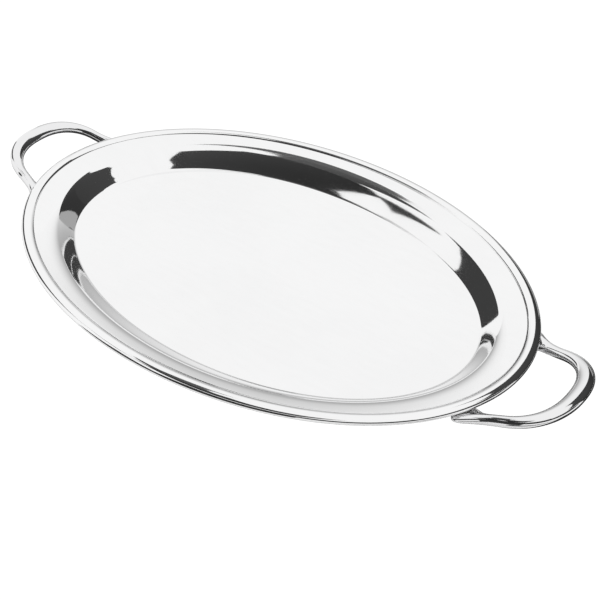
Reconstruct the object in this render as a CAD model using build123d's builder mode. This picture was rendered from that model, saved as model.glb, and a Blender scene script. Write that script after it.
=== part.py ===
from build123d import *
import os
from math import cos, pi, sin

# Oval serving tray with two cast loop handles, in millimetres.
# The origin is on the surface that the tray stands on, under its centre.
# +X runs along the tray's length and +Z is up.

# Pan: one drawn sheet, described by the ellipses on which it turns
SHEET = 1.0                 # thickness of the sheet
FLOOR = (201.5, 127.5)      # semi-axes of the flat floor
CREST = (218.5, 146.5)      # semi-axes where the wall turns over into the flange
GROOVE = (239.0, 160.0)     # semi-axes where the flange meets the rim border
CREST_Z = 17.0              # height of the crest, on the upper side
FLANGE_Z = 21.0             # height of the flange at the rim border, on the upper side
LIP = 6.0                   # width of the flat lip inside the rim border
COVE_R = 5.0                # inside radius between floor and wall
CREST_R = 7.0               # radius over the crest, on the upper side

# Rim border: a hollow oval moulding that grips the lip
BORDER_W = 11.0
BORDER_H = 6.0
BORDER_WALL = 1.0
BORDER_Z = 19.4             # height of its middle
BORDER_LINE = (GROOVE[0] + BORDER_W / 2, GROOVE[1] + BORDER_W / 2)

# Handles: a rounded bar bent to a loop that rises as it leaves the rim
LOOP_ROOT_X = 250.0         # where the loop's curve begins
LOOP_REACH = 45.4           # from there to the middle of the grip
LOOP_HALF_WIDTH = 47.0
LOOP_POWER = 2.3            # 2 is an ellipse, more is squarer at the corners
LOOP_ROOT_Z = 12.9
LOOP_RISE = 13.5
LOOP_STATIONS = 8           # sections on half of the loop
LOOP_SPAN = 0.9             # share of the quarter turn that half of the loop takes
ARM_W = 9.0                 # width of the bar at the arms
GRIP_W = 15.5               # width of the bar in the middle of the grip
BAR_H = 8.8
# Stations of a splayed foot, from under the border outwards:
# x, y, z, width, height, and the turn of its width away from the Y axis in degrees
FOOT = (
    (230.2, 51.6, 12.6, 19.0, 5.6, 25),
    (236.0, 54.3, 11.8, 24.5, 7.6, 25),
    (241.8, 51.9, 11.8, 16.5, 8.4, 20),
    (247.6, 49.4, 12.5, 10.5, 8.8, 10),
)

# Braze metal that fills the gap between a foot and the border above it
BRAZE = (6.0, 16.0, 1.9)
BRAZE_AT = (231.8, 52.6, 16.3)
BRAZE_TURN = 25


def under(ring):
    """Semi-axes on the lower side of the sheet, mitred below an upper ring."""
    mitre = 0.45 * SHEET
    return ring[0] + mitre, ring[1] + mitre


def foot_station(row):
    """Plane, width and height of a section of the back foot."""
    x, y, z, width, height, turn = row
    outward = Vector(0, 1, 0).rotate(Axis.Z, turn)
    along = Vector(-1, 0, 0).rotate(Axis.Z, turn)
    return Plane((x, y, z), x_dir=outward, z_dir=along), width, height


def loop_point(turn):
    """A point on the loop's centre line; turn runs from 0 at the grip to 1 at the root."""
    angle = turn * pi / 2
    side = 1 if angle > 0 else -1
    across = abs(sin(angle)) ** (2 / LOOP_POWER)
    reach = cos(angle) ** (2 / LOOP_POWER)
    return Vector(
        LOOP_ROOT_X + LOOP_REACH * reach,
        side * LOOP_HALF_WIDTH * across,
        LOOP_ROOT_Z + LOOP_RISE * reach,
    )


def loop_station(turn):
    """Plane, width and height of the bar at a point on the loop."""
    centre = loop_point(turn)
    along = loop_point(turn + 0.01) - loop_point(turn - 0.01)
    loop_up = Vector(-LOOP_RISE, 0, LOOP_REACH)
    reach = (centre.X - LOOP_ROOT_X) / LOOP_REACH
    width = ARM_W + (GRIP_W - ARM_W) * reach**2
    return Plane(centre, x_dir=along.cross(loop_up), z_dir=along), width, BAR_H


os.makedirs("parts", exist_ok=True)

# Pan: floor, wall, flange and lip
with BuildPart() as pan:
    with BuildSketch(Plane.XY):
        Ellipse(*under(FLOOR))
    with BuildSketch(Plane.XY.offset(CREST_Z - SHEET)):
        Ellipse(*under(CREST))
    with BuildSketch(Plane.XY.offset(FLANGE_Z - SHEET)):
        Ellipse(*GROOVE)
    loft(ruled=True)
    with BuildSketch(Plane.XY.offset(FLANGE_Z - SHEET)):
        Ellipse(GROOVE[0] + LIP, GROOVE[1] + LIP)
    extrude(amount=SHEET)
    with BuildSketch(Plane.XY.offset(SHEET)):
        Ellipse(*FLOOR)
    with BuildSketch(Plane.XY.offset(CREST_Z)):
        Ellipse(*CREST)
    with BuildSketch(Plane.XY.offset(FLANGE_Z)):
        Ellipse(*GROOVE)
    loft(ruled=True, mode=Mode.SUBTRACT)
    bends = (
        (0, COVE_R + SHEET),
        (SHEET, COVE_R),
        (CREST_Z - SHEET, CREST_R - SHEET),
        (CREST_Z, CREST_R),
    )
    for height, radius in bends:
        ring = pan.edges().filter_by(GeomType.ELLIPSE)
        ring = ring.filter_by_position(Axis.Z, height - 0.1, height + 0.1)
        fillet(ring, radius=radius)
pan.part.label = "pan"

# Rim border: swept round the rim, then cut open along the lip
with BuildPart() as rim_border:
    with BuildLine(Plane.XY.offset(BORDER_Z)) as border_line:
        EllipticalCenterArc((0, 0), *BORDER_LINE, start_angle=0, arc_size=360)
    with BuildSketch(Plane((BORDER_LINE[0], 0, BORDER_Z), x_dir=(1, 0, 0), z_dir=(0, 1, 0))):
        Ellipse(BORDER_W / 2, BORDER_H / 2)
        Ellipse(BORDER_W / 2 - BORDER_WALL, BORDER_H / 2 - BORDER_WALL, mode=Mode.SUBTRACT)
    sweep(path=border_line.line)
    add(pan.part, mode=Mode.SUBTRACT)
rim_border.part.label = "rim_border"

# Handles: oval sections from the middle of the grip to the back foot, then the front half
turns = [LOOP_SPAN * step / (LOOP_STATIONS - 1) for step in range(LOOP_STATIONS)]
stations = [loop_station(turn) for turn in turns]
stations += [foot_station(row) for row in reversed(FOOT)]
with BuildPart() as handle_right:
    for plane, width, height in stations:
        with BuildSketch(plane):
            Ellipse(width / 2, height / 2)
    loft()
    mirror(about=Plane.XZ)
handle_right.part.label = "handle_right"

with BuildPart() as handle_left:
    mirror(handle_right.part, about=Plane.YZ)
handle_left.part.label = "handle_left"

# Brazes: one bed of braze metal on each of the four feet
braze_beds = [
    Location((x * BRAZE_AT[0], y * BRAZE_AT[1], BRAZE_AT[2]), (0, 0, x * y * BRAZE_TURN))
    for x in (-1, 1)
    for y in (-1, 1)
]
with BuildPart() as handle_brazes:
    with Locations(*braze_beds):
        Box(*BRAZE, align=(Align.CENTER, Align.CENTER, Align.CENTER))
    add(rim_border.part, mode=Mode.SUBTRACT)
    add(handle_right.part, mode=Mode.SUBTRACT)
    add(handle_left.part, mode=Mode.SUBTRACT)
handle_brazes.part.label = "handle_brazes"

for piece in (pan, rim_border, handle_right, handle_left, handle_brazes):
    export_step(piece.part, f"parts/{piece.part.label}.step")
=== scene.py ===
"""Visual model of an oval serving tray with two cast loop handles.

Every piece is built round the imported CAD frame, in metres, with +X along the tray and +Z up.
"""

from math import cos, pi, radians, sin, tau

import bmesh
import bpy
from mathutils import Matrix, Vector, noise


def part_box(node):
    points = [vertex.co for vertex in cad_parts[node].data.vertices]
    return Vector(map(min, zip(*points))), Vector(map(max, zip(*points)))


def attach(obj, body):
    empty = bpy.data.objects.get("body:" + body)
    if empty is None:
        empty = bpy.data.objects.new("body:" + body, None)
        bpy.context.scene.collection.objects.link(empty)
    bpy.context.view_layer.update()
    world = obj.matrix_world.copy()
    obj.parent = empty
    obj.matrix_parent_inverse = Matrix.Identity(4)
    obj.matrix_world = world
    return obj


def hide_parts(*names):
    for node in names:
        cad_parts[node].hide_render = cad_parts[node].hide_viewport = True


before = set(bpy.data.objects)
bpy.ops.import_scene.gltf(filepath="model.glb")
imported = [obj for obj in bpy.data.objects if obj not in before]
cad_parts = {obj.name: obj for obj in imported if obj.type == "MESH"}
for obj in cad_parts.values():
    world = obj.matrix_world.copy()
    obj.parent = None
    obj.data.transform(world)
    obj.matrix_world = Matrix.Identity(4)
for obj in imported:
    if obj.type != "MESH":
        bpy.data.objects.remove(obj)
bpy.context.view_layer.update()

PAN_LOW, PAN_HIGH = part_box("pan")
BORDER_LOW, BORDER_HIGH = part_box("rim_border")

MM = 0.001

# Pan: rings of the flat floor, as shares of its semi-axes, the bend steps of a rounded corner,
# how far the wall's crown spreads from its middle, and how far the lip reaches under the border.
CENTRE_RING = 0.25
OUTER_RING = 0.9
BEND_STEPS = 10
CROWN_SHIFT = 0.7
CROWN_BELOW = 8.0 * MM
CROWN_ABOVE = 4.0 * MM
LIP = 4.0 * MM
# Border: sections round the moulding.
BORDER_STEPS = 32
# Handles: sections on half of the loop, its share of the quarter turn, and corners of a section.
LOOP_STEPS = 14
LOOP_SPAN = 0.9
BAR_CORNERS = 24
# Brazes: half sizes of a bead, where it lies, its turn in degrees, and its lumpiness.
BEAD = (3.0 * MM, 8.0 * MM, 1.1 * MM)
BEAD_AT = (231.8 * MM, 52.6 * MM, 16.2 * MM)
BEAD_TURN = 25
BEAD_LUMPS = 0.12

bl_info = {
    "name": "Oval Serving Tray",
    "version": (1, 0, 0),
    "blender": (4, 5, 0),
    "location": "View3D > Sidebar > Serving Tray",
    "description": "Polished oval tray with a moulded border and two cast loop handles",
    "category": "Add Mesh",
}


def length(name, description, default):
    """A property that holds a length in metres."""
    return bpy.props.FloatProperty(
        name=name,
        description=description,
        default=default,
        min=0.0,
        precision=5,
        subtype="DISTANCE",
        unit="LENGTH",
    )


def angle(name, description, degrees):
    """A property that holds an angle, with its default given in degrees."""
    return bpy.props.FloatProperty(
        name=name,
        description=description,
        default=radians(degrees),
        subtype="ANGLE",
        unit="ROTATION",
    )


def share(name, description, default, high=1.0):
    """A property that holds a plain number from 0 upwards."""
    return bpy.props.FloatProperty(
        name=name, description=description, default=default, min=0.0, max=high, precision=4
    )


def colour(name, description, default):
    """A property that holds a linear colour."""
    return bpy.props.FloatVectorProperty(
        name=name, description=description, default=default, min=0.0, max=1.0, size=3, subtype="COLOR"
    )


class TrayPanSizes(bpy.types.PropertyGroup):
    """Sizes of the drawn pan: semi-axes of the ellipses on which the sheet turns."""

    facets: bpy.props.IntProperty(
        name="Facets", description="Facets round each ring of the pan and border", default=288, min=32
    )
    sheet: length("Sheet", "Thickness of the sheet", 1.0 * MM)
    floor_x: length("Floor length", "Half of the flat floor, along the tray", 201.5 * MM)
    floor_y: length("Floor width", "Half of the flat floor, across the tray", 127.5 * MM)
    crest_x: length("Crest length", "Half of the oval at the top of the wall, along", 218.5 * MM)
    crest_y: length("Crest width", "Half of the oval at the top of the wall, across", 146.5 * MM)
    crest_z: length("Crest height", "Height of the top of the wall", 17.0 * MM)
    cove_setback: length("Cove", "How far from its corner the cove begins", 2.2 * MM)
    wall_crown: length("Wall crown", "How far the wall bulges inwards at its middle", 0.2 * MM)
    crest_inside: length("Crest roll, wall", "Where the crest roll begins on the wall", 6.5 * MM)
    crest_outside: length("Crest roll, flange", "Where it ends on the flange", 13.0 * MM)
    gap_width: length("Groove width", "Width of the groove beside the border", 0.6 * MM)
    gap_depth: length("Groove depth", "Depth of the groove beside the border", 0.9 * MM)


class TrayBorderSizes(bpy.types.PropertyGroup):
    """Sizes of the oval moulding on the rim."""

    width: length("Width", "Width of the moulding, seen from above", 11.0 * MM)


class TrayHandleSizes(bpy.types.PropertyGroup):
    """Sizes of the cast loop handles."""

    root_x: length("Root", "Where the loop's curve begins, from the tray's centre", 250.0 * MM)
    root_z: length("Root height", "Height of the bar where the loop begins", 12.9 * MM)
    reach: length("Reach", "From the root to the middle of the grip", 45.4 * MM)
    rise: length("Rise", "How much higher the grip is than the root", 13.5 * MM)
    half_width: length("Half width", "Half of the loop, across the tray", 47.0 * MM)
    power: share("Squareness", "2 is an ellipse, more is squarer at the corners", 2.3, 8.0)
    arm_width: length("Arm", "Width of the bar at the arms", 9.0 * MM)
    grip_width: length("Grip", "Width of the bar in the middle of the grip", 15.5 * MM)
    bar_height: length("Bar height", "Height of the bar", 8.8 * MM)


class TrayFinish(bpy.types.PropertyGroup):
    """Colours and gloss of the metals."""

    steel: colour("Steel", "Colour of the polished steel", (0.90, 0.90, 0.902))
    casting: colour("Casting", "Colour of the polished castings", (0.84, 0.84, 0.845))
    braze: colour("Braze", "Colour of the braze metal", (0.30, 0.29, 0.27))
    # Painted shade: this dark colour fills the groove beside the border and stands for the shade in
    # the narrow groove.
    groove_shade: colour("Groove shade", "Colour of old polish left in the groove", (0.25, 0.25, 0.25))
    sheet_gloss: share("Sheet roughness", "Roughness of the pan and border", 0.04)
    casting_gloss: share("Casting roughness", "Roughness of the handles", 0.05)


class TrayStage(bpy.types.PropertyGroup):
    """Floor, light and camera."""

    azimuth: angle("Azimuth", "Turn of the camera round the tray, from the front", 38.3)
    elevation: angle("Elevation", "Camera's height above the horizon, as an angle", 39.7)
    distance: length("Distance", "From the camera to the point that it looks at", 0.9335)
    aim: bpy.props.FloatVectorProperty(
        name="Aim",
        description="The point that the camera looks at",
        default=(0.0616, -0.0323, 0.020),
        size=3,
        subtype="TRANSLATION",
        unit="LENGTH",
    )
    lens: share("Lens", "Focal length in millimetres on a 36 mm sensor", 68.26, 500.0)
    surround: share("Surround", "Brightness of the white tent round the tray", 1.02, 10.0)
    paper: colour("Paper", "Colour of the floor", (0.9, 0.9, 0.9))


# ---------------------------------------------------------------------------------------------
# Mesh tools


def loop_edges(shell):
    """The open edges of a shell."""
    return [edge for edge in shell.edges if edge.is_boundary or edge.is_wire]


def grow(shell, places):
    """Extrudes the shell's open loop, which lies at the first place, to each next place.

    Each place is a matrix that carries a unit circle to its ring. Returns the last loop and
    the band of faces of each step.
    """
    loop = loop_edges(shell)
    bands = []
    for before, after in zip(places, places[1:]):
        made = bmesh.ops.extrude_edge_only(shell, edges=loop)["geom"]
        points = {item for item in made if isinstance(item, bmesh.types.BMVert)}
        step = after @ before.inverted()
        bmesh.ops.transform(shell, matrix=step, verts=list(points))
        loop = [
            item for item in made
            if isinstance(item, bmesh.types.BMEdge) and all(v in points for v in item.verts)
        ]
        bands.append([item for item in made if isinstance(item, bmesh.types.BMFace)])
    return loop, bands


def start_ring(shell, place, facets, filled):
    """A ring of the unit circle carried to a place, open or filled with a fan of triangles."""
    bmesh.ops.create_circle(
        shell, cap_ends=filled, cap_tris=filled, segments=facets, radius=1.0, matrix=place
    )


def close_loop(shell, loop):
    """Fills an open loop with a fan of triangles."""
    face = bmesh.ops.contextual_create(shell, geom=loop)["faces"]
    bmesh.ops.poke(shell, faces=face)


def oval_place(along, across, height):
    """The matrix of a level oval ring with these semi-axes."""
    return Matrix.Translation((0, 0, height)) @ Matrix.Diagonal((along, across, 1, 1))


def rounded(stations, steps):
    """Ovals through a path of stations, with its corners rounded.

    Each station is (along, across, height, setback before, setback after); where both setbacks
    are 0 the corner stays sharp.
    """
    points = [Vector(row[:3]) for row in stations]
    ovals = [points[0]]
    for before, here, after, row in zip(points, points[1:], points[2:], stations[1:]):
        if not any(row[3:]):
            ovals.append(here)
            continue
        first = here + (before - here).normalized() * row[3]
        last = here + (after - here).normalized() * row[4]
        for step in range(steps + 1):
            t = step / steps
            ovals.append(first.lerp(here, t).lerp(here.lerp(last, t), t))
    return ovals + [points[-1]]


def finish_piece(name, shell, materials, node):
    """Turns a shell into a smooth piece of the tray that stands for a CAD node."""
    bmesh.ops.recalc_face_normals(shell, faces=shell.faces)
    mesh = bpy.data.meshes.new(name)
    shell.to_mesh(mesh)
    shell.free()
    mesh.shade_smooth()
    for material in materials:
        mesh.materials.append(material)
    piece = bpy.data.objects.new(name, mesh)
    bpy.context.scene.collection.objects.link(piece)
    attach(piece, "root")
    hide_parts(node)
    return piece


# ---------------------------------------------------------------------------------------------
# Finishes


def add_sockets(group, inputs, outputs):
    """Gives a node group its named sockets; each input is (name, type, default)."""
    for name, kind, default in inputs:
        socket = group.interface.new_socket(name, in_out="INPUT", socket_type=kind)
        if default is not None:
            socket.default_value = default
    for name, kind in outputs:
        group.interface.new_socket(name, in_out="OUTPUT", socket_type=kind)


def new_group(name, inputs, outputs):
    """A shader node group with its sockets, or None if it has been built already."""
    if name in bpy.data.node_groups:
        return None
    group = bpy.data.node_groups.new(name, "ShaderNodeTree")
    add_sockets(group, inputs, outputs)
    return group


def add_node(tree, kind, settings=None, **values):
    """A node with its settings, and with values or links on its named inputs."""
    node = tree.nodes.new(kind)
    for key, value in (settings or {}).items():
        setattr(node, key, value)
    for key, value in values.items():
        socket = node.inputs[key.replace("_", " ")]
        if isinstance(value, bpy.types.NodeSocket):
            tree.links.new(value, socket)
        else:
            socket.default_value = value
    return node


def arithmetic(tree, operation, first, second=0.0):
    """The result of a Math node on two values or links."""
    node = tree.nodes.new("ShaderNodeMath")
    node.operation = operation
    for socket, value in zip(node.inputs, (first, second)):
        if isinstance(value, bpy.types.NodeSocket):
            tree.links.new(value, socket)
        else:
            socket.default_value = value
    return node.outputs[0]


def ramp(tree, value, low, high, to_low=0.0, to_high=1.0):
    """A value mapped smoothly from one range to another."""
    node = add_node(
        tree, "ShaderNodeMapRange", {"interpolation_type": "SMOOTHSTEP"},
        Value=value, From_Min=low, From_Max=high, To_Min=to_low, To_Max=to_high,
    )
    return node.outputs["Result"]


def noise_value(tree, vector, scale, detail=2.0):
    """The value of a noise texture."""
    node = add_node(tree, "ShaderNodeTexNoise", Vector=vector, Scale=scale, Detail=detail)
    return node.outputs[0]


def turned(tree, vector, turn, stretch):
    """Coordinates turned about Z and stretched, which draws noise out into streaks."""
    node = add_node(
        tree, "ShaderNodeMapping", Vector=vector, Rotation=(0.0, 0.0, radians(turn)), Scale=stretch
    )
    return node.outputs["Vector"]


def hairline_group():
    """Hairline scratches left by cloths and cutlery, in three directions."""
    group = new_group(
        "Hairlines",
        [("Vector", "NodeSocketVector", None), ("Scale", "NodeSocketFloat", 60.0),
         ("Cover", "NodeSocketFloat", 0.5)],
        [("Mask", "NodeSocketFloat")],
    )
    if group is None:
        return bpy.data.node_groups["Hairlines"]
    given = group.nodes.new("NodeGroupInput")
    total = 0.0
    for turn in (12, 57, 131):
        lines = turned(group, given.outputs["Vector"], turn, (0.6, 26.0, 3.0))
        streak = noise_value(group, lines, given.outputs["Scale"], 3.0)
        line = ramp(group, streak, 0.62, 0.70)
        patch = noise_value(group, given.outputs["Vector"], 9.0 + turn / 40)
        total = arithmetic(group, "MAXIMUM", total, arithmetic(group, "MULTIPLY", line, patch))
    mask = arithmetic(group, "MULTIPLY", total, given.outputs["Cover"])
    out = group.nodes.new("NodeGroupOutput")
    group.links.new(mask, out.inputs["Mask"])
    return group


def haze_group():
    """The haze of buffing and of fingers, as an uneven mask from 0 to 1."""
    group = new_group(
        "Buffing haze",
        [("Vector", "NodeSocketVector", None), ("Scale", "NodeSocketFloat", 8.0)],
        [("Mask", "NodeSocketFloat")],
    )
    if group is None:
        return bpy.data.node_groups["Buffing haze"]
    given = group.nodes.new("NodeGroupInput")
    broad = noise_value(group, given.outputs["Vector"], given.outputs["Scale"], 4.0)
    swirl = noise_value(group, turned(group, given.outputs["Vector"], 30, (1.0, 4.0, 1.0)), 40.0, 3.0)
    both = arithmetic(group, "ADD", arithmetic(group, "MULTIPLY", broad, 0.7),
                      arithmetic(group, "MULTIPLY", swirl, 0.3))
    out = group.nodes.new("NodeGroupOutput")
    group.links.new(ramp(group, both, 0.38, 0.66), out.inputs["Mask"])
    return group


def dust_group():
    """Fine specks of dust and lint."""
    group = new_group(
        "Dust specks",
        [("Vector", "NodeSocketVector", None), ("Scale", "NodeSocketFloat", 260.0),
         ("Size", "NodeSocketFloat", 0.12)],
        [("Mask", "NodeSocketFloat")],
    )
    if group is None:
        return bpy.data.node_groups["Dust specks"]
    given = group.nodes.new("NodeGroupInput")
    cells = add_node(
        group, "ShaderNodeTexVoronoi", Vector=given.outputs["Vector"], Scale=given.outputs["Scale"]
    )
    speck = arithmetic(group, "LESS_THAN", cells.outputs["Distance"], given.outputs["Size"])
    few = ramp(group, noise_value(group, given.outputs["Vector"], 31.0), 0.55, 0.62)
    out = group.nodes.new("NodeGroupOutput")
    group.links.new(arithmetic(group, "MULTIPLY", speck, few), out.inputs["Mask"])
    return group


def place_group(tree, group, **values):
    """A group's node in a material, with its inputs set."""
    node = add_node(tree, "ShaderNodeGroup", {"node_tree": group}, **values)
    return node.outputs["Mask"]


def mottled(tree, factor, first, second):
    """A colour that goes from the first tone to the second as the factor rises."""
    mix = add_node(tree, "ShaderNodeMix", {"data_type": "RGBA"})
    tree.links.new(factor, mix.inputs["Factor"])
    colours = [socket for socket in mix.inputs if socket.type == "RGBA"]
    colours[0].default_value = (*first, 1.0)
    colours[1].default_value = (*second, 1.0)
    return next(socket for socket in mix.outputs if socket.type == "RGBA")


def new_finish(name):
    """An empty material: its tree, its Principled BSDF and its Object coordinates."""
    material = bpy.data.materials.new(name)
    material.use_nodes = True
    tree = material.node_tree
    shader = tree.nodes["Principled BSDF"]
    where = tree.nodes.new("ShaderNodeTexCoord").outputs["Object"]
    return material, tree, shader, where


def polished_metal(name, tone, roughness, ripple, ripple_scale, scratch_cover, scratch_depth):
    """Mirror-polished metal: haze in its gloss, hairlines, dust, and a faint ripple."""
    material, tree, shader, where = new_finish(name)
    haze = place_group(tree, haze_group(), Vector=where)
    hairs = place_group(tree, hairline_group(), Vector=where, Cover=scratch_cover)
    dust = place_group(tree, dust_group(), Vector=where)
    shade = arithmetic(tree, "MULTIPLY", haze, 0.35)
    marks = arithmetic(tree, "MAXIMUM", shade, arithmetic(tree, "MULTIPLY", hairs, 0.6))
    marks = arithmetic(tree, "MAXIMUM", marks, arithmetic(tree, "MULTIPLY", dust, 0.5))
    worn = tuple(0.94 * part for part in tone)
    tree.links.new(mottled(tree, marks, tone, worn), shader.inputs["Base Color"])
    gloss = arithmetic(tree, "ADD", roughness, arithmetic(tree, "MULTIPLY", marks, roughness * 1.2))
    tree.links.new(gloss, shader.inputs["Roughness"])
    wave = arithmetic(tree, "MULTIPLY", noise_value(tree, where, ripple_scale, 1.0), ripple)
    relief = arithmetic(tree, "SUBTRACT", wave, arithmetic(tree, "MULTIPLY", hairs, scratch_depth))
    bump = add_node(tree, "ShaderNodeBump", Strength=1.0, Distance=1.0, Height=relief)
    tree.links.new(bump.outputs["Normal"], shader.inputs["Normal"])
    shader.inputs["Metallic"].default_value = 1.0
    return material


def dull_metal(name, tone, roughness, lump):
    """Rough metal, or the painted shade in the groove, mottled and a little lumpy."""
    material, tree, shader, where = new_finish(name)
    haze = place_group(tree, haze_group(), Vector=where, Scale=90.0)
    dark = tuple(0.55 * part for part in tone)
    tree.links.new(mottled(tree, haze, tone, dark), shader.inputs["Base Color"])
    gloss = arithmetic(tree, "ADD", roughness, arithmetic(tree, "MULTIPLY", haze, 0.2))
    tree.links.new(gloss, shader.inputs["Roughness"])
    height = arithmetic(tree, "MULTIPLY", noise_value(tree, where, 900.0, 4.0), lump)
    bump = add_node(tree, "ShaderNodeBump", Strength=1.0, Distance=1.0, Height=height)
    tree.links.new(bump.outputs["Normal"], shader.inputs["Normal"])
    shader.inputs["Metallic"].default_value = 0.8
    return material


# ---------------------------------------------------------------------------------------------
# Pieces


class TRAY_OT_pan(bpy.types.Operator):
    """Build the drawn pan: floor, wall, flange and the lip inside the border"""

    bl_idname = "serving_tray.pan"
    bl_label = "Pan"

    def execute(self, context):
        pan = context.scene.tray_pan
        border = context.scene.tray_border
        finish = context.scene.tray_finish
        groove_x = BORDER_HIGH.x - border.width
        groove_y = BORDER_HIGH.y - border.width
        flange_z = PAN_HIGH.z
        gap = pan.gap_width
        shift = CROWN_SHIFT * pan.wall_crown
        wall_x = (pan.floor_x + pan.crest_x) / 2 - shift
        wall_y = (pan.floor_y + pan.crest_y) / 2 - shift
        wall_z = (pan.sheet + pan.crest_z) / 2 + shift
        gap_z = flange_z - pan.gap_depth
        upper = [
            (CENTRE_RING * pan.floor_x, CENTRE_RING * pan.floor_y, pan.sheet, 0, 0),
            (OUTER_RING * pan.floor_x, OUTER_RING * pan.floor_y, pan.sheet, 0, 0),
            (pan.floor_x, pan.floor_y, pan.sheet, pan.cove_setback, pan.cove_setback),
            (wall_x, wall_y, wall_z, CROWN_BELOW, CROWN_ABOVE),
            (pan.crest_x, pan.crest_y, pan.crest_z, pan.crest_inside, pan.crest_outside),
            (groove_x - 0.6 * gap, groove_y - 0.6 * gap, flange_z - 0.05 * MM,
             0.4 * gap, 0.2 * gap),
            (groove_x, groove_y, gap_z, 0.2 * gap, 0.2 * gap),
            (groove_x + gap, groove_y + gap, gap_z, 0, 0),
        ]
        mitre = 0.45 * pan.sheet
        under_z = gap_z - 0.6 * pan.sheet
        lower = [
            (groove_x + LIP, groove_y + LIP, gap_z, 0, 0),
            (groove_x + LIP, groove_y + LIP, under_z, 0, 0),
            (groove_x, groove_y, under_z, 0.3 * MM, 0.3 * MM),
            (pan.crest_x + mitre, pan.crest_y + mitre, pan.crest_z - pan.sheet,
             pan.crest_outside, pan.crest_inside),
            (wall_x + mitre, wall_y + mitre, wall_z - pan.sheet, CROWN_ABOVE, CROWN_BELOW),
            (pan.floor_x + mitre, pan.floor_y + mitre, PAN_LOW.z,
             pan.cove_setback, pan.cove_setback),
            (OUTER_RING * pan.floor_x, OUTER_RING * pan.floor_y, PAN_LOW.z, 0, 0),
            (CENTRE_RING * pan.floor_x, CENTRE_RING * pan.floor_y, PAN_LOW.z, 0, 0),
        ]
        ovals = rounded(upper + lower, BEND_STEPS)
        places = [oval_place(*oval) for oval in ovals]
        shell = bmesh.new()
        start_ring(shell, places[0], pan.facets, filled=True)
        last, bands = grow(shell, places)
        # The faces in the groove take the second material, the painted shade of the groove.
        gap_edge = groove_x - 0.5 * gap
        gap_foot = flange_z - 1.2 * pan.gap_depth
        in_gap = [oval.x > gap_edge and oval.z > gap_foot for oval in ovals]
        for band, first, second in zip(bands, in_gap, in_gap[1:]):
            for face in band:
                face.material_index = int(first and second)
        close_loop(shell, last)
        sheet_metal = polished_metal(
            "Polished sheet", finish.steel, finish.sheet_gloss, 0.00003, 14.0, 0.8, 0.000002
        )
        # Painted shade: a dark, rough finish for the groove's faces, darker than the steel round it.
        groove_shade = dull_metal("Painted groove shade", finish.groove_shade, 0.55, 0.00005)
        finish_piece("tray_pan", shell, [sheet_metal, groove_shade], "pan")
        return {"FINISHED"}


class TRAY_OT_border(bpy.types.Operator):
    """Build the oval moulding that runs round the rim"""

    bl_idname = "serving_tray.border"
    bl_label = "Border"

    def execute(self, context):
        facets = context.scene.tray_pan.facets
        border = context.scene.tray_border
        finish = context.scene.tray_finish
        half_width = border.width / 2
        half_height = (BORDER_HIGH.z - BORDER_LOW.z) / 2
        middle_z = (BORDER_HIGH.z + BORDER_LOW.z) / 2
        places = []
        for step in range(BORDER_STEPS):
            turn = pi - tau * step / BORDER_STEPS
            offset = half_width * (cos(turn) - 1)
            places.append(oval_place(
                BORDER_HIGH.x + offset, BORDER_HIGH.y + offset, middle_z + half_height * sin(turn)
            ))
        shell = bmesh.new()
        start_ring(shell, places[0], facets, filled=False)
        first = loop_edges(shell)
        last, _ = grow(shell, places)
        bmesh.ops.bridge_loops(shell, edges=first + last)
        moulding = polished_metal(
            "Polished moulding", finish.steel, finish.sheet_gloss, 0.000004, 30.0, 0.5, 0.0
        )
        finish_piece("border_moulding", shell, [moulding], "rim_border")
        return {"FINISHED"}


def loop_point(sizes, turn):
    """A point on the loop's centre line; turn is 0 at the grip and 1 at the root."""
    reach = cos(turn * pi / 2) ** (2 / sizes.power)
    across = abs(sin(turn * pi / 2)) ** (2 / sizes.power)
    side = 1 if turn >= 0 else -1
    return Vector((
        sizes.root_x + sizes.reach * reach,
        side * sizes.half_width * across,
        sizes.root_z + sizes.rise * reach,
    ))


def bar_place(centre, outward, up, width, height):
    """The matrix that carries a unit circle to an oval section of the bar."""
    along = outward.cross(up).normalized()
    turn = Matrix((outward.normalized(), up.normalized(), along)).transposed().to_4x4()
    return Matrix.Translation(centre) @ turn @ Matrix.Diagonal((width / 2, height / 2, 1, 1))


def loop_place(sizes, turn):
    """The section of the bar at a point on the loop."""
    centre = loop_point(sizes, turn)
    along = loop_point(sizes, turn + 0.01) - loop_point(sizes, turn - 0.01)
    up = Vector((-sizes.rise, 0, sizes.reach))
    share_out = (centre.x - sizes.root_x) / sizes.reach
    width = sizes.arm_width + (sizes.grip_width - sizes.arm_width) * share_out ** 2
    return bar_place(centre, along.cross(up), up, width, sizes.bar_height)


# The splayed foot, from the arm to its end under the border, in millimetres: how far in from
# the loop's root, how far out from the tray's middle line, height, width, thickness and turn.
FOOT = (
    (2.4, 49.4, 12.5, 10.5, 8.8, 10),
    (8.2, 51.9, 11.8, 16.5, 8.4, 20),
    (14.0, 54.3, 11.8, 24.5, 7.6, 25),
    (17.5, 53.2, 12.1, 23.0, 7.0, 25),
    (19.8, 51.6, 12.6, 19.0, 5.6, 25),
)


def foot_place(sizes, row):
    """A section of the splayed foot."""
    inward, across, height, width, thickness, turn = row
    outward = Matrix.Rotation(radians(turn), 3, "Z") @ Vector((0, 1, 0))
    centre = Vector((sizes.root_x - inward * MM, across * MM, height * MM))
    return bar_place(centre, outward, Vector((0, 0, 1)), width * MM, thickness * MM)


def handle_shell(sizes):
    """The back half of the right handle, from the grip to its foot, and its last open loop."""
    turns = [LOOP_SPAN * step / (LOOP_STEPS - 1) for step in range(LOOP_STEPS)]
    places = [loop_place(sizes, turn) for turn in turns]
    places += [foot_place(sizes, row) for row in FOOT]
    shell = bmesh.new()
    start_ring(shell, places[0], BAR_CORNERS, filled=False)
    last, _ = grow(shell, places)
    return shell, last


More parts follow.
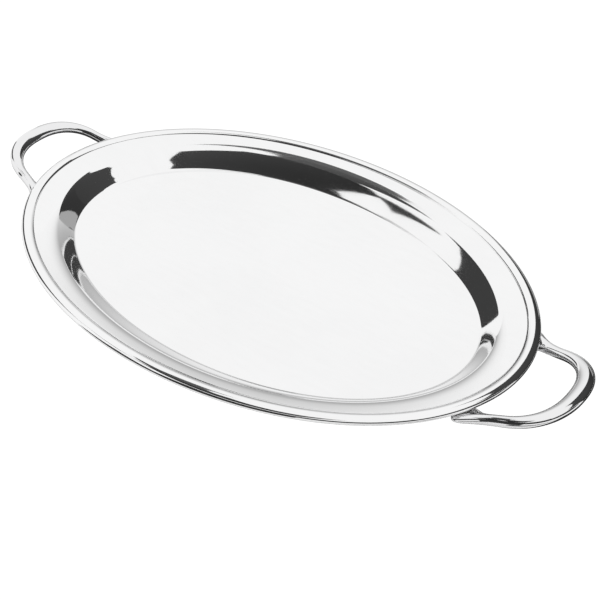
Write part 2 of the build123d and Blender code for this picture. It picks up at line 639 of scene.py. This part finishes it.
class TRAY_OT_handles(bpy.types.Operator):
    """Build the two cast loop handles with their splayed feet"""

    bl_idname = "serving_tray.handles"
    bl_label = "Handles"

    def execute(self, context):
        sizes = context.scene.tray_handle
        finish = context.scene.tray_finish
        casting = polished_metal(
            "Polished casting", finish.casting, finish.casting_gloss, 0.000006, 45.0, 0.5, 0.0
        )
        for name, turn in (("right", 0), ("left", pi)):
            shell, last = handle_shell(sizes)
            close_loop(shell, last)
            bmesh.ops.mirror(
                shell, geom=shell.verts[:] + shell.edges[:] + shell.faces[:],
                axis="Y", merge_dist=0.01 * MM,
            )
            bmesh.ops.remove_doubles(shell, verts=shell.verts, dist=0.005 * MM)
            bmesh.ops.rotate(shell, matrix=Matrix.Rotation(turn, 3, "Z"), verts=shell.verts)
            piece = finish_piece(
                f"cast_handle_{name}", shell, [casting], f"handle_{name}"
            )
            smooth = piece.modifiers.new("Smooth", "SUBSURF")
            smooth.levels = smooth.render_levels = 2
        return {"FINISHED"}


class TRAY_OT_brazes(bpy.types.Operator):
    """Build the braze bead on each of the four feet"""

    bl_idname = "serving_tray.brazes"
    bl_label = "Brazes"

    def execute(self, context):
        finish = context.scene.tray_finish
        metal = dull_metal("Braze metal", finish.braze, 0.38, 0.00015)
        for name, along, across in (
            ("right_back", 1, 1), ("left_back", -1, 1), ("left_front", -1, -1), ("right_front", 1, -1)
        ):
            shell = bmesh.new()
            bmesh.ops.create_icosphere(shell, subdivisions=4, radius=1.0)
            for vert in shell.verts:
                lump = noise.noise(vert.co * 2 + Vector((along, across, 0)) * 5)
                vert.co *= 1 + BEAD_LUMPS * lump
            bead = Matrix.Diagonal((*BEAD, 1))
            turn = Matrix.Rotation(along * across * radians(BEAD_TURN), 4, "Z")
            centre = Matrix.Translation((along * BEAD_AT[0], across * BEAD_AT[1], BEAD_AT[2]))
            bmesh.ops.transform(shell, matrix=centre @ turn @ bead, verts=shell.verts)
            finish_piece(f"braze_{name}", shell, [metal], "handle_brazes")
        return {"FINISHED"}


# ---------------------------------------------------------------------------------------------
# Stage

# Cards hung on an arc: name, the point on the floor that the arc is centred on, its radius,
# first and last azimuth from +X towards +Y, lowest and highest elevation, and the brightness
# at its lower and upper edge.
ARC_CARDS = (
    ("slit_back", (0.0, 0.1), 1.1, 160, 182, 60, 67, 0.12, 0.12),
    ("slit_left", (0.0, 0.1), 1.1, 182, 215, 56, 68, 0.06, 0.10),
    ("slit_over_camera", (0.0, 0.1), 1.1, 215, 287, 51, 71, 0.03, 0.06),
    ("room_near_left", (0.0, 0.0), 3.0, 220, 235, 1, 40, 0.05, 0.05),
    ("room_near", (0.0, 0.0), 3.0, 235, 288, 1, 54, 0.05, 0.03),
    ("room_behind_camera", (0.0, 0.0), 3.0, 288, 340, 24, 54, 0.05, 0.03),
    ("room_right", (0.0, 0.0), 3.0, 340, 395, 24, 50, 0.06, 0.06),
    ("door_right", (0.03, 0.03), 2.4, 35, 80, 0, 57, 0.035, 0.06),
    ("door_right_sill", (0.03, 0.03), 2.4, 78, 103, 0, 10, 0.035, 0.035),
    ("door_right_window", (0.03, 0.03), 2.42, 78, 103, 9, 20, 0.40, 0.40),
    ("door_right_head", (0.03, 0.03), 2.4, 78, 103, 19, 57, 0.035, 0.06),
    ("backdrop_foot", (0.0, 0.0), 3.2, 101, 150, 0, 32, 0.42, 1.0),
)
# Flat cards with slanted edges: name, centre and radius of the arc that they hang on, then the
# azimuth and elevation of each corner.
SLANTED_CARDS = (
    ("door_left", (0.19, 0.06), 6.0, ((192, 44), (192, 23), (163, 0), (163, 17))),
    ("slit_tip_right", (0.0, 0.1), 1.1, ((287, 51), (287, 71), (305, 66))),
    ("slit_tip_left", (0.0, 0.1), 1.1, ((215, 52), (215, 47), (200, 43))),
)
# Dark sheets lying on the table, seen only in the metal's reflections. The right and left ones are
# painted shade under and round the handles, and the right one reaches on as darker floor beyond the
# right end; the front one darkens the table before the right handle.
# Name, opposite corners and brightness.
SHADE_SHEETS = (
    ("painted_shade_right", (0.250, -0.045), (2.0, 0.60), 0.03),
    ("dark_sheet_front", (0.262, -0.60), (0.60, -0.095), 0.03),
    ("painted_shade_left", (-0.315, -0.045), (-0.250, 0.045), 0.03),
)
FLOOR_HALF = 6.0


def plain_material(name, tone, glow):
    """A matt stage material with a faint mottle, which may glow by itself."""
    material, tree, shader, where = new_finish(name)
    mottle = ramp(tree, noise_value(tree, where, 3.0), 0.3, 0.7, 0.985, 1.0)
    mix = add_node(tree, "ShaderNodeVectorMath", {"operation": "SCALE"})
    mix.inputs[0].default_value = tone
    tree.links.new(mottle, mix.inputs["Scale"])
    target = "Emission Color" if glow else "Base Color"
    tree.links.new(mix.outputs["Vector"], shader.inputs[target])
    if glow:
        shader.inputs["Base Color"].default_value = (0.0, 0.0, 0.0, 1.0)
    shader.inputs["Roughness"].default_value = 0.9
    shader.inputs["Specular IOR Level"].default_value = 0.0
    shader.inputs["Emission Strength"].default_value = glow
    return material


def stage_piece(name, shell, material):
    """Turns a shell into a stage object."""
    mesh = bpy.data.meshes.new(name)
    shell.to_mesh(mesh)
    shell.free()
    mesh.materials.append(material)
    piece = bpy.data.objects.new(name, mesh)
    bpy.context.scene.collection.objects.link(piece)
    return piece


def card_material(name, span, tones):
    """A card that glows evenly or fades from its lower edge to its upper one."""
    material, tree, shader, where = new_finish("Card " + name)
    height = add_node(tree, "ShaderNodeSeparateXYZ", Vector=where).outputs["Z"]
    tone = ramp(tree, height, *span, *tones)
    tree.links.new(tone, shader.inputs["Emission Color"])
    shader.inputs["Emission Strength"].default_value = 1.0
    shader.inputs["Base Color"].default_value = (0.0, 0.0, 0.0, 1.0)
    shader.inputs["Specular IOR Level"].default_value = 0.0
    return material


def heading(azimuth, height):
    """The unit vector towards an azimuth and an elevation, both in degrees."""
    turn = radians(azimuth)
    rise = radians(height)
    return Vector((cos(turn) * cos(rise), sin(turn) * cos(rise), sin(rise)))


def hang_card(name, card_mesh, material):
    """Hangs a card where only the metal's reflections meet it."""
    card = stage_piece(name, card_mesh, material)
    card.visible_camera = False
    card.visible_diffuse = False
    card.visible_shadow = False


class TRAY_OT_stage(bpy.types.Operator):
    """Build the pale floor, the white tent with its dark flags, and the camera"""

    bl_idname = "serving_tray.stage"
    bl_label = "Stage"

    def execute(self, context):
        stage = context.scene.tray_stage
        paper = bmesh.new()
        bmesh.ops.create_grid(paper, x_segments=8, y_segments=8, size=FLOOR_HALF)
        floor = stage_piece("studio_floor", paper, plain_material("Studio paper", stage.paper, 1.2))
        floor.visible_glossy = False
        floor.visible_diffuse = False
        floor.visible_shadow = False
        top = bmesh.new()
        bmesh.ops.create_grid(top, x_segments=8, y_segments=8, size=FLOOR_HALF)
        bmesh.ops.translate(top, vec=(0, 0, -0.2 * MM), verts=top.verts)
        table = stage_piece("table_top", top, plain_material("Table paper", stage.paper, 0.0))
        table.visible_camera = False
        for name, centre, radius, start, end, low, high, foot_tone, top_tone in ARC_CARDS:
            card_mesh = bmesh.new()
            foot = Vector((*centre, 0))
            edge = []
            for height in (low, high):
                edge.append(card_mesh.verts.new(foot + radius * heading(start, height)))
            span = (edge[0].co.z, edge[1].co.z)
            bmesh.ops.spin(
                card_mesh, geom=edge + [card_mesh.edges.new(edge)], cent=foot, axis=(0, 0, 1),
                angle=radians(end - start), steps=24, use_merge=False,
            )
            hang_card(name, card_mesh, card_material(name, span, (foot_tone, top_tone)))
        for name, centre, radius, corners in SLANTED_CARDS:
            card_mesh = bmesh.new()
            points = [
                card_mesh.verts.new(Vector((*centre, 0)) + radius * heading(azimuth, height))
                for azimuth, height in corners
            ]
            bmesh.ops.contextual_create(card_mesh, geom=points)
            hang_card(name, card_mesh, card_material(name, (0.0, 1.0), (0.05, 0.05)))
        # Painted shade: dark sheets on the table, which only the reflections see.
        for name, first, last, tone in SHADE_SHEETS:
            card_mesh = bmesh.new()
            corners = (card_mesh.verts.new((*first, 0)), card_mesh.verts.new((last[0], first[1], 0)))
            edge = card_mesh.edges.new(corners)
            made = bmesh.ops.extrude_edge_only(card_mesh, edges=[edge])["geom"]
            bmesh.ops.translate(
                card_mesh, vec=(0, last[1] - first[1], 0),
                verts=[v for v in made if isinstance(v, bmesh.types.BMVert)],
            )
            hang_card(name, card_mesh, card_material(name, (0.0, 1.0), (tone, tone)))
        world = bpy.data.worlds.new("White tent")
        world.use_nodes = True
        world.node_tree.nodes["Background"].inputs["Color"].default_value = (1.0, 1.0, 1.0, 1.0)
        world.node_tree.nodes["Background"].inputs["Strength"].default_value = stage.surround
        context.scene.world = world
        context.scene.view_settings.view_transform = "Standard"
        camera = bpy.data.cameras.new("view_camera")
        camera.sensor_width = 36.0
        camera.lens = stage.lens
        holder = bpy.data.objects.new("view_camera", camera)
        context.scene.collection.objects.link(holder)
        flat = cos(stage.elevation)
        back = Vector((sin(stage.azimuth) * flat, -cos(stage.azimuth) * flat, sin(stage.elevation)))
        holder.location = Vector(stage.aim) + back * stage.distance
        holder.rotation_euler = (-back).to_track_quat("-Z", "Y").to_euler()
        context.scene.camera = holder
        return {"FINISHED"}


class TRAY_PT_sidebar(bpy.types.Panel):
    """Lists the operators that build the tray and its stage."""

    bl_idname = "TRAY_PT_sidebar"
    bl_label = "Serving Tray"
    bl_space_type = "VIEW_3D"
    bl_region_type = "UI"
    bl_category = "Serving Tray"

    def draw(self, context):
        for operator in OPERATORS:
            self.layout.operator(operator.bl_idname)
        for name in GROUPS:
            group = getattr(context.scene, name)
            box = self.layout.box()
            for key in group.bl_rna.properties.keys():
                if key not in ("rna_type", "name"):
                    box.prop(group, key)


OPERATORS = (TRAY_OT_pan, TRAY_OT_border, TRAY_OT_handles, TRAY_OT_brazes, TRAY_OT_stage)
GROUPS = {
    "tray_pan": TrayPanSizes,
    "tray_border": TrayBorderSizes,
    "tray_handle": TrayHandleSizes,
    "tray_finish": TrayFinish,
    "tray_stage": TrayStage,
}


def register():
    """Registers the classes and hangs the property groups on the scene."""
    for kind in (*GROUPS.values(), *OPERATORS, TRAY_PT_sidebar):
        bpy.utils.register_class(kind)
    for name, kind in GROUPS.items():
        setattr(bpy.types.Scene, name, bpy.props.PointerProperty(type=kind))


def unregister():
    """Takes the property groups off the scene and unregisters the classes."""
    for name in GROUPS:
        delattr(bpy.types.Scene, name)
    for kind in reversed((*GROUPS.values(), *OPERATORS, TRAY_PT_sidebar)):
        bpy.utils.unregister_class(kind)


def main():
    """Builds the tray and its stage."""
    register()
    bpy.ops.serving_tray.pan()
    bpy.ops.serving_tray.border()
    bpy.ops.serving_tray.handles()
    bpy.ops.serving_tray.brazes()
    bpy.ops.serving_tray.stage()


if __name__ == "__main__":
    main()
